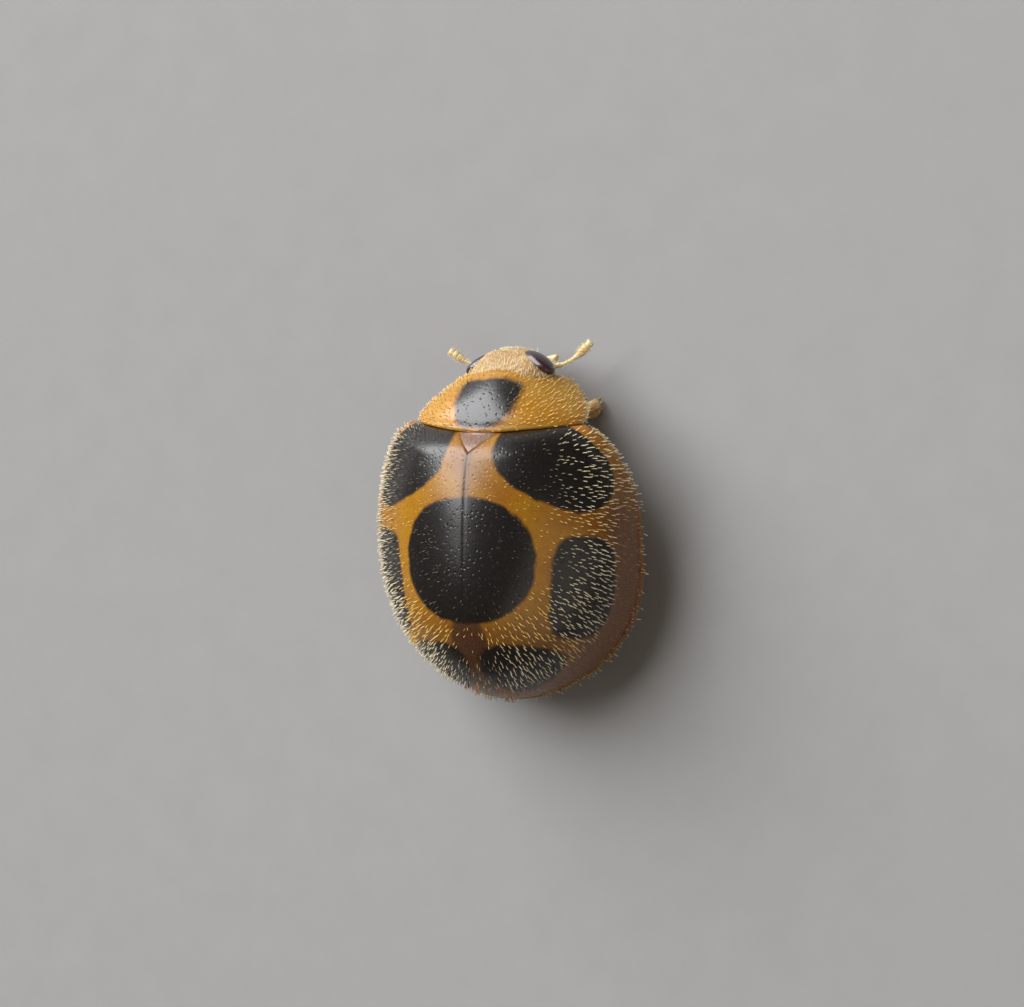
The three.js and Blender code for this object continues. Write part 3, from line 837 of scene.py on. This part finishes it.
def buildWing(side, sign):
    look = wingLook
    s = sideways(look["domeColumns"], 0)
    t = np.linspace(0, 1, look["along"] + 1)[:, None]
    seam = look["seamShares"]
    shares = np.concatenate([seam, np.linspace(0.025, 1, look["across"] - len(seam))])

    cuticle, across = evenColumns(look, shares, *wingProfile(look, s, t))
    cuticle[..., 0] = np.maximum(cuticle[..., 0], look["seamHalf"])
    normals = gridNormals(cuticle)
    y = cuticle[..., 1]
    fromRim = across[:, -1:] - across
    rise = ridge(look, "bead", fromRim) - ridge(look, "gutter", fromRim - look["gutterAt"])
    rise = rise * ease(0.0, look["beadFrom"], t)
    callus = np.hypot(across - look["callusAt"][0], y - look["callusAt"][1])
    rise = rise + ridge(look, "callus", callus)
    dip = ridge(look, "seam", cuticle[..., 0] - look["seamHalf"])
    upper = cuticle + normals * rise[..., None]
    upper[..., 2] -= dip
    upper[..., 0] = np.maximum(upper[..., 0], look["seamHalf"])

    # the inner face: lining, then the fold from its inner edge out to the bead
    thick = mix(look["baseWall"], look["wall"], ease(0.0, look["baseWallTo"], t))
    lower, _ = evenColumns(look, shares, *wingProfile(look, s, t, thick))
    lower[..., 0] = np.maximum(lower[..., 0], look["seamHalf"])
    lower[..., 2] -= dip
    fold = mix(look["foldFront"], look["foldTail"], t[:, 0] ** 3)
    rim = upper[:, -1]
    corner = edgeStart(np.ones(1), 0.0, baseLine)
    for number, (share, height) in enumerate(look["courses"]):
        inset = fold * share
        foldY = mix(corner, wing["tail"] - inset, np.sin(t[:, 0] * math.pi / 2))
        reach = rim[:, 0] - halfWidth(y[:, -1]) + halfWidth(foldY, inset)
        x = np.maximum(reach, look["seamHalf"])
        lower[:, number - len(look["courses"]) - 1] = stacked(x, foldY, rim[:, 2] + height)
    lower[:, -1] = rim

    brim = domePoint(np.ones(1), np.linspace(-2.0, wing["tail"], 200))[:, :2]
    fromEdge = np.min([np.hypot(cuticle[..., 0] - px, y - py) for px, py in brim], axis=0)
    seamLength = lengthAlong(cuticle[:, 0])
    wrapU = 0.48 * across / across.max() * np.maximum(halfWidth(y) / wing["halfWidth"], 0.15)
    marks = {"place": stacked(across, y, fromEdge),
             "lay": lieAlong(look["pull"], normals),
             "cover": wingCover(look, across, y, t, fromEdge, fromRim),
             "unwrap": stacked(0.5 + sign * wrapU, onMap(seamLength / seamLength[-1])[:, None], 0)}
    tag = side.capitalize()
    mesh = slabMesh("elytron" + tag, upper, lower, marks, mirror=sign < 0)
    coat = ("Elytron" + tag, "shell", 11 + sign)
    dress("elytron" + tag, mesh, "shell", "wing_case", "elytron_" + side, coat, "shellHair")


sides = {"left": 1, "right": -1}
for side, sign in sides.items():
    buildWing(side, sign)
print("wing cases made")


# The pronotum, in the shape of its solid.
collar = {
    "frontY": -2.62, "frontCurve": 0.13, "widest": 1.53, "widestAt": 0.25, "hind": 1.5, "front": 0.9,
    "top": 2.35, "drop": 0.67, "dropPower": 2.1, "rimHind": 1.5, "rimFront": 0.82,
    "arcHind": 1.61, "arcFront": 1.25, "plan": (1.7, 1.35), "gap": 0.02,
}


def collarPoint(s, t, inset=0.0):
    toFront = np.clip((t - collar["widestAt"]) / (1 - collar["widestAt"]), 0, 1)
    toHind = np.clip((collar["widestAt"] - t) / collar["widestAt"], 0, 1)
    width = mix(collar["front"], collar["widest"], arc(toFront, collar["plan"])) - inset
    x = s * (width - (collar["widest"] - collar["hind"]) * toHind ** 2)
    y = mix(shoulderLine(x) - collar["gap"], collar["frontY"] + collar["frontCurve"] * x ** 2, t)
    rim = mix(collar["rimHind"], collar["rimFront"], t)
    ridge = collar["top"] - collar["drop"] * t ** collar["dropPower"] - inset
    slope = mix(collar["arcHind"], collar["arcFront"], t)
    return stacked(x, y, mix(rim, ridge, arc(s, (wing["crossArc"][0], slope))))


def buildPronotum():
    look = {"across": 121, "along": 60, "wall": 0.08, "edge": 0.02, "edgeWidth": 0.02,
            "bead": 0.02, "beadWidth": 0.045, "basal": 0.006, "basalAt": 0.1, "basalWidth": 0.05,
            "sideReach": 2.0, "placeReach": 0.8, "part": 0.5, "pull": (-0.12, -0.9),
            "bareEnds": (0.03, 0.985),
            "patchAt": (0.1, -2.05), "patchHalf": (0.5, 0.46), "patchEdge": (0.8, 1.1), "patchCover": 0.25}
    s = sideways(look["across"])
    t = (0.5 - 0.5 * np.cos(np.linspace(0, math.pi, look["along"])))[:, None]
    cuticle = collarPoint(s, t)
    normals = -gridNormals(cuticle)
    toSide = look["sideReach"] * (1 - np.abs(np.arcsin(s)) * 2 / math.pi)
    rise = ridge(look, "bead", toSide) - ridge(look, "edge", np.minimum(t, 1 - t))
    rise = rise - ridge(look, "basal", t - look["basalAt"]) * ease(1.0, 0.4, np.abs(s))
    upper = cuticle + normals * rise[..., None]
    lower = collarPoint(s, t, look["wall"])
    lower[:, 0], lower[:, -1] = upper[:, 0], upper[:, -1]
    patch = np.hypot((cuticle[..., 0] - look["patchAt"][0]) / look["patchHalf"][0],
                     (cuticle[..., 1] - look["patchAt"][1]) / look["patchHalf"][1])
    cover = ease(0.0, look["bareEnds"][0], t) * ease(1.0, look["bareEnds"][1], t)
    marks = {"place": stacked(cuticle[..., 0], cuticle[..., 1], look["placeReach"] * toSide),
             "lay": lieAlong(stacked(look["part"] * np.sign(s), *look["pull"]), normals),
             "cover": cover * mix(look["patchCover"], 1, ease(*look["patchEdge"], patch)),
             "unwrap": stacked(0.5 + 0.48 * np.arcsin(s) * 2 / math.pi, 0.02 + 0.5 * t, 0)}
    mesh = slabMesh("pronotumPlate", upper, lower, marks)
    dress("pronotumPlate", mesh, "collar", "pronotum", "pronotum", ("Pronotum", "collar", 21), "collarHair")


buildPronotum()
print("pronotum made")


def buildScutellum():
    look = {"half": 0.355, "tipY": -1.236, "baseY": -1.56, "crown": 0.025, "sunk": 0.008, "wall": 0.12,
            "across": 25, "along": 25, "facing": (0, -0.4, 0.9), "cover": 0.3, "bareSides": (0.03, 0.2),
            "bareTip": (1.0, 0.85)}
    s = sideways(look["across"])
    t = sideways(look["along"], 0).T
    x = s * look["half"] * (1 - t)
    y = mix(look["baseY"], look["tipY"], t)
    grid = domePoint(np.abs(x) / halfWidth(y), y)
    grid[..., 0] = x
    crown = look["crown"] * np.clip((1 - s ** 2) * (1 - t ** 2), 0, 1) ** 0.5
    upper = grid + stacked(0, 0, crown - look["sunk"])
    lower = grid - (0, 0, look["wall"])
    marks = {"place": 0, "lay": lieAlong((0, 1, 0), np.array(look["facing"])),
             "cover": look["cover"] * ease(*look["bareSides"], 1 - np.abs(s)) * ease(*look["bareTip"], t),
             "unwrap": stacked(0.5 + x, 0.5 + (y + 1.4), 0)}
    mesh = slabMesh("scutellumPlate", upper, lower, marks)
    dress("scutellumPlate", mesh, "scutellum", "scutellum", "scutellum", ("Scutellum", "head", 31))


buildScutellum()


# Rounded bodies: a ball, squared or pinched, then tipped, turned and set at its centre.
def pebbleMesh(name, look, around, down, shape=None, cover=None):
    polar = np.linspace(0, math.pi, down)[:, None]
    turn = np.linspace(0, 2 * math.pi, around, endpoint=False)[None, :]
    ball = stacked(-np.cos(turn) * np.sin(polar), np.cos(polar), np.sin(turn) * np.sin(polar))
    grid = np.sign(ball) * np.abs(ball) ** look.get("power", 1) * look["half"]
    if shape:
        grid = shape(ball, grid)
    x, y, z = np.moveaxis(grid, -1, 0)
    y, z = turnPair(y, z, look.get("tip", 0))
    x, y = turnPair(x, y, look.get("turn", 0))
    grid = stacked(x, y, z) + look["centre"]
    outward = unitArrows(grid - np.array(look["centre"]))
    marks = {"place": 0 * grid, "lay": lieAlong((0, -1.0, -0.3), outward),
             "cover": cover(ball, grid) if cover else np.ones(grid.shape[:2]),
             "unwrap": stacked(onMap(np.linspace(0, 1, around)), onMap(np.linspace(0, 1, down))[:, None], 0)}
    return makeMesh(name, grid, gridFaces(down, around, wrap=True), marks)


def reachIn(look, points):
    # 1 on the face of the pebble, less inside it
    x, y, z = np.moveaxis(points - np.array(look["centre"]), -1, 0)
    x, y = turnPair(x, y, -look["turn"])
    y, z = turnPair(y, z, -look["tip"])
    return np.linalg.norm(stacked(x, y, z) / np.array(look["half"]), axis=-1)


skull = {"centre": (-0.03, -2.435, 1.2), "half": (0.76, 0.62, 0.44), "tip": 45, "turn": -2, "power": 0.92}
eyes = {"half": (0.15, 0.36, 0.23), "tip": 20, "turn": 62,
        "aside": 0.505, "at": (-2.735, 1.15), "skew": 0.017}
headForm = {
    "groove": 0.025, "grooveAt": -0.62, "grooveBow": 0.25, "grooveWidth": 0.05, "grooveOver": (-0.2, 0.2),
    "brow": 0.02, "browAt": 0.55, "browWidth": 0.18, "browOver": (0.0, 0.5),
    "dip": 0.03, "dipAt": -0.2, "dipWidth": 0.25, "dipLength": 0.35, "dipOver": (0.2, 0.8),
    "hairyTo": (0.55, 0.3), "bareAtEyes": (1.04, 1.22),
}


def buildHead():
    look = headForm

    def features(ball, grid):
        x, y, z = np.moveaxis(ball, -1, 0)
        groove = ridge(look, "groove", y - look["grooveAt"] + look["grooveBow"] * x ** 2)
        groove = groove * ease(*look["grooveOver"], z)
        brow = ridge(look, "brow", np.abs(x) - look["browAt"]) * ease(*look["browOver"], z)
        dip = ridge(look, "dip", x) * bell(y - look["dipAt"], look["dipLength"]) * ease(*look["dipOver"], z)
        return grid - ball * (groove + dip - brow)[..., None]

    def bareAtEyes(ball, grid):
        hairy = ease(*look["hairyTo"], ball[..., 1])
        for eye in eyeLooks.values():
            hairy = hairy * ease(*look["bareAtEyes"], reachIn(eye, grid))
        return hairy

    eyeLooks = {}
    for side, sign in sides.items():
        y, z = eyes["at"]
        centre = (skull["centre"][0] + sign * eyes["aside"], y + sign * eyes["skew"], z)
        eyeLooks[side] = dict(eyes, centre=centre, turn=-sign * eyes["turn"])
    mesh = pebbleMesh("headCapsule", skull, 96, 64, features, bareAtEyes)
    dress("headCapsule", mesh, "head", "head", "head", ("Head", "head", 41))
    for side, eye in eyeLooks.items():
        name = "eye" + side.capitalize()
        wear(makePiece(name, pebbleMesh(name, eye, 64, 40), finishes["eye"]), "eye", "eye_" + side)


mouth = {
    "jaw": {"centre": (-0.03, -2.75, 0.68), "half": (0.3, 0.22, 0.18), "tip": 20, "turn": -2},
    "lip": {"centre": (-0.03, -2.86, 0.76), "half": (0.2, 0.12, 0.06), "tip": 50, "turn": -2, "power": 0.85},
    "hairyTo": (0.2, -0.2), "middle": -0.03,
    "mandible": [(0.18, -2.8, 0.6), (0.16, -2.9, 0.54), (0.05, -2.94, 0.5)],
    "mandibleWide": [(0, 0.07), (0.5, 0.06), (1, 0.015)],
    "mandibleHigh": [(0, 0.06), (0.5, 0.045), (1, 0.015)],
    "palp": [(0.2, -2.72, 0.58), (0.36, -2.82, 0.5), (0.49, -2.84, 0.52), (0.57, -2.8, 0.56)],
    "stalkWide": [(0, 0.035), (0.45, 0.05), (0.5, 0.035), (1, 0.055)],
    "stalkHigh": [(0, 0.035), (0.45, 0.05), (0.5, 0.035), (1, 0.05)],
    "endWide": [(0, 0.04), (0.5, 0.08), (1, 0.115)],
    "endHigh": [(0, 0.04), (0.5, 0.06), (1, 0.05)],
}


def buildMouth():
    def jawCover(ball, grid):
        return ease(*mouth["hairyTo"], ball[..., 1])

    parts = [pebbleMesh("jaw", mouth["jaw"], 64, 40, cover=jawCover), pebbleMesh("lip", mouth["lip"], 48, 24)]
    for sign in (1, -1):
        stops = np.array(mouth["mandible"]) * (sign, 1, 1) + (mouth["middle"], 0, 0)
        parts.append(tubeMesh("mandible", stops, mouth["mandibleWide"], mouth["mandibleHigh"], 20, 14))
    mesh = joinMeshes("mouthSet", parts)
    dress("mouthSet", mesh, "mouth", "mouthparts", "mouthparts", ("Mouthparts", "limb", 43))
    for side, sign in sides.items():
        stops = np.array(mouth["palp"]) * (sign, 1, 1)
        ending = [stops[2] * 0.8 + stops[1] * 0.2, stops[2], stops[3]]
        joints = [tubeMesh("palpStalk", stops[:3], mouth["stalkWide"], mouth["stalkHigh"], 30, 14, (0, 0.5)),
                  tubeMesh("palpEnd", ending, mouth["endWide"], mouth["endHigh"], 24, 18, (0.5, 1), 14)]
        name = "palp" + side.capitalize()
        wear(makePiece(name, joinMeshes(name, joints), finishes["feeler"]), "mouthparts", "palp_" + side)


buildHead()
buildMouth()
print("head, eyes and mouth made")

feelers = {
    "left": [(0.5, -2.7, 0.84), (0.8, -2.7, 0.86), (1.03, -2.79, 0.88), (1.28, -2.95, 0.92)],
    "right": [(-0.54, -2.7, 0.84), (-0.86, -2.74, 0.86), (-1.12, -2.88, 0.88), (-1.4, -3.12, 0.92)],
    # joints from root to tip: share of the length, half-width
    "joints": [(0.17, 0.062), (0.09, 0.05), (0.09, 0.036), (0.07, 0.034), (0.07, 0.034), (0.065, 0.035),
               (0.06, 0.042), (0.06, 0.05), (0.11, 0.074), (0.11, 0.08), (0.115, 0.066)],
    # the swelling of one joint: way along it, share of its half-width
    "swelling": [(0.05, 0.7), (0.35, 0.92), (0.8, 1)],
    "rootShare": 0.6, "tipShare": 0.5, "flatness": 0.92,
}


def buildFeelers():
    joints = feelers["joints"]
    total = sum(share for share, _ in joints)
    profile = [(0, joints[0][1] * feelers["rootShare"])]
    at = 0.0
    for share, half in joints:
        share = share / total
        profile += [(at + share * along, half * size) for along, size in feelers["swelling"]]
        at += share
    profile.append((1, joints[-1][1] * feelers["tipShare"]))
    high = [(at, half * feelers["flatness"]) for at, half in profile]
    for side in ("left", "right"):
        tag = side.capitalize()
        mesh = tubeMesh("antenna" + tag, feelers[side], profile, high, 150, 16, blunt=60)
        dress("antenna" + tag, mesh, "feeler", "limb", "antenna_" + side, ("Antenna" + tag, "feeler", 51))


buildFeelers()

# Legs: hip, knee, ankle and toe of each pair, on the left.
legs = {
    "front": [(0.32, -1.72, 0.6), (1.34, -1.28, 0.64), (0.76, -1.74, 0.2), (1.25, -2.14, 0.1)],
    "mid": [(0.42, -0.55, 0.56), (1.6, -0.32, 0.66), (1.06, 0.36, 0.2), (1.62, 0.62, 0.1)],
    "hind": [(0.36, 0.42, 0.54), (1.5, 1.02, 0.64), (0.84, 1.74, 0.2), (1.16, 2.22, 0.1)],
}
legShape = {
    "femurWide": [(0, 0.09), (0.15, 0.14), (0.5, 0.19), (0.85, 0.14), (1, 0.09)],
    "femurHigh": [(0, 0.08), (0.15, 0.12), (0.5, 0.15), (0.85, 0.12), (1, 0.08)],
    "tibiaWide": [(0, 0.06), (0.12, 0.075), (0.6, 0.1), (0.9, 0.115), (1, 0.09)],
    "tibiaHigh": [(0, 0.06), (0.12, 0.07), (0.6, 0.085), (0.9, 0.095), (1, 0.08)],
    "femurLift": 0.02, "tibiaLift": 0.03, "coxaShift": (-0.04, 0, 0.02), "coxaHalf": (0.24, 0.15, 0.14),
}
# Parts of a foot: course as (share of the way, height, aside), half-sizes wide and high,
# rings, points around, strip of the map.
clawHalf = [(0, 0.03), (0.4, 0.024), (1, 0.006)]
toothHalf = [(0, 0.02), (0.5, 0.016), (1, 0.005)]
footShape = {
    "base": ([(-0.03, 0.19, 0), (0.12, 0.12, 0), (0.36, 0.07, 0)], [(0, 0.07), (0.5, 0.095), (1, 0.12)],
             [(0, 0.06), (0.5, 0.075), (1, 0.07)], 24, 16, (0, 0.3)),
    "lobe": ([(0.3, 0.08, 0.055 * 0.4), (0.52, 0.06, 0.055), (0.78, 0.045, 0.055 * 1.2)],
             [(0, 0.05), (0.55, 0.085), (1, 0.07)], [(0, 0.05), (0.5, 0.07), (1, 0.055)], 22, 14, (0.3, 0.6)),
    "shank": ([(0.36, 0.10, 0), (0.62, 0.14, 0), (0.9, 0.13, 0)], [(0, 0.05), (0.5, 0.075), (1, 0.095)],
              [(0, 0.05), (0.5, 0.07), (1, 0.085)], 22, 14, (0.6, 0.9)),
    "claw": ([(0.86, 0.12, 0.02), (0.94, 0.12, 0.04), (0.985, 0.08, 0.05), (0.99, 0.03, 0.05)],
             clawHalf, clawHalf, 22, 10, (0.9, 0.95)),
    "clawTooth": ([(0.9, 0.11, 0.03), (0.94, 0.07, 0.035), (0.95, 0.035, 0.035)],
                  toothHalf, toothHalf, 12, 8, (0.95, 1)),
}
footOrder = [("base", 1), ("lobe", -1), ("lobe", 1), ("shank", 1),
             ("claw", -1), ("clawTooth", -1), ("claw", 1), ("clawTooth", 1)]


def bowed(start, end, lift):
    middle = (np.array(start) + np.array(end)) / 2 + (0, 0, lift)
    return [start, middle, end]


def bareMesh(mesh):
    # no hairs, and the tip's colour all over
    mesh.attributes["cover"].data.foreach_set("value", np.zeros(len(mesh.vertices), np.float32))
    mesh.attributes["place"].data.foreach_set("vector", np.ones(len(mesh.vertices) * 3, np.float32))


def tarsusParts(ankle, toe, mirror):
    ankle, toe = np.array(ankle), np.array(toe)
    way = (toe - ankle) * (1, 1, 0)
    beside = unitArrows(np.cross(way, (0, 0, 1)))
    parts = []
    for name, side in footOrder:
        course, wide, high, rings, around, strip = footShape[name]
        stops = [np.array([*(ankle + way * share)[:2], height]) + beside * (side * aside)
                 for share, height, aside in course]
        parts.append(tubeMesh(name, stops, wide, high, rings, around, strip, mirror=mirror))
        if name.startswith("claw"):
            bareMesh(parts[-1])
    return parts


def buildLeg(pair, side, sign, seed):
    hip, knee, ankle, toe = legs[pair]
    mirror = sign < 0
    femur = tubeMesh("femur", bowed(hip, knee, legShape["femurLift"]),
                     legShape["femurWide"], legShape["femurHigh"], 44, 24, (0, 0.33), 8, mirror)
    tibia = tubeMesh("tibia", bowed(knee, ankle, legShape["tibiaLift"]),
                     legShape["tibiaWide"], legShape["tibiaHigh"], 44, 20, (0.34, 0.66), 10, mirror)
    coxaLook = {"centre": np.array(hip) + legShape["coxaShift"], "half": legShape["coxaHalf"]}
    coxa = pebbleMesh("coxa", coxaLook, 32, 20)
    if mirror:
        coxa.transform(Matrix.Diagonal((-1, 1, 1, 1)))
        coxa.flip_normals()
    pieces = {"femur": [femur, coxa], "tibia": [tibia], "tarsus": tarsusParts(ankle, toe, mirror)}
    for name, meshes in pieces.items():
        tag = pair.capitalize() + side.capitalize()
        mesh = joinMeshes(name + tag, meshes)
        # the tarsi take the paler foot colour, which is painted light
        finish = "foot" if name == "tarsus" else "limb"
        coat = (name.capitalize() + tag, "limb", seed)
        dress(name + tag, mesh, finish, "limb", f"{pair}_{name}_{side}", coat)


for number, pair in enumerate(legs):
    buildLeg(pair, "left", 1, 61 + number)
    buildLeg(pair, "right", -1, 71 + number)
print("feelers and legs made")

# Underside: plates under the wing cases and the pronotum, hairy below.
belly = {
    "centre": 0.5, "rim": 0.06, "waistY": 0.34, "waistGap": 0.005, "power": 2.4, "lining": 0.41, "gap": 0.02,
    "keel": 0.03, "keelWidth": 0.025, "keelAlong": (-0.6, -0.3),
    "cross": 0.03, "crossAt": -0.62, "crossBow": 0.05, "crossWidth": 0.03,
    "socket": 0.08, "socketAside": 0.1, "socketStretch": 1.6, "socketWidth": 0.17,
    "seams": (0.62, 0.98, 1.32, 1.66, 2.0, 2.3), "seam": 0.03, "seamWidth": 0.025, "seamBow": 0.05,
    "plateSlope": 0.03, "platesFrom": 0.3, "platesTo": 2.7,
    "foreLining": 0.09, "foreY": -2.42, "foreMiddle": (0.56, 0.72), "foreKeel": 0.03, "foreKeelWidth": 0.09,
}


def platesMesh(name, upper, z, s, t):
    lower = stacked(upper[..., 0], upper[..., 1], z)
    marks = {"place": 0, "lay": (0, 1, 0), "cover": 1, "unwrap": stacked(0.5 + 0.48 * s, onMap(t), 0)}
    return slabMesh(name, upper, lower, marks, hairBelow=True)


def trunkMesh(name, front, rear, carve, along):
    s = sideways(97)
    t = np.linspace(0, 1, along)[:, None]
    y = mix(front(np.abs(s)), rear, t)
    x = s * halfWidth(y, belly["lining"])
    upper = domePoint(np.abs(s), y, belly["lining"])
    upper[..., 0] = x
    z = mix(belly["centre"], rimHeight(y) - belly["rim"], np.abs(s) ** belly["power"])
    return platesMesh(name, upper, z + carve(x, y), s, t)


def foreMesh():
    # fills the pronotum from below, with a keel between the fore hips
    s = sideways(81)
    t = np.linspace(0, 1, 40)[:, None]
    upper = collarPoint(s, t, belly["foreLining"])
    x = upper[..., 0]
    upper[..., 1] = mix(shoulderLine(x) - belly["gap"], belly["foreY"], t)
    rim = mix(collar["rimHind"], collar["rimFront"], t) - belly["rim"]
    z = mix(mix(*belly["foreMiddle"], t), rim, np.abs(s) ** belly["power"])
    return platesMesh("prothoraxPlates", upper, z - ridge(belly, "foreKeel", x), s, t)


def hipSocket(pair, x, y):
    hip = legs[pair][0]
    away = np.hypot((np.abs(x) - hip[0] - belly["socketAside"]) / belly["socketStretch"], y - hip[1])
    return ridge(belly, "socket", away)


def chestCarve(x, y):
    line = ridge(belly, "keel", x) * ease(*belly["keelAlong"], y)
    cross = ridge(belly, "cross", y - belly["crossAt"] - belly["crossBow"] * x ** 2)
    return line + cross + sum(hipSocket(pair, x, y) for pair in ("mid", "hind"))


def bellyCarve(x, y):
    curve = y - belly["seamBow"] * x ** 2
    seams = sum(ridge(belly, "seam", curve - at) for at in belly["seams"])
    edges = np.array((belly["platesFrom"], *belly["seams"], belly["platesTo"]))
    cell = np.clip(np.searchsorted(edges, curve) - 1, 0, len(edges) - 2)
    ramp = (curve - edges[cell]) / (edges[cell + 1] - edges[cell])
    return seams - belly["plateSlope"] * (ramp - 0.5) + hipSocket("hind", x, y)


def chestStart(s):
    return edgeStart(s, belly["lining"], shoulderLine) + belly["gap"]


def bellyStart(s):
    return belly["waistY"] + belly["waistGap"] + 0 * s


def buildUnderside():
    tail = wing["tail"] - belly["lining"] - belly["gap"]
    chest = trunkMesh("thorax", chestStart, belly["waistY"], chestCarve, 80)
    abdomen = trunkMesh("abdomen", bellyStart, tail, bellyCarve, 120)
    dress("thoraxPlates", chest, "under", "underside", "thorax", ("Thorax", "belly", 81))
    dress("abdomenPlates", abdomen, "under", "underside", "abdomen", ("Abdomen", "belly", 82))
    dress("prothoraxPlates", foreMesh(), "under", "underside", "prothorax", ("Prothorax", "belly", 83))


buildUnderside()
print("underside made")
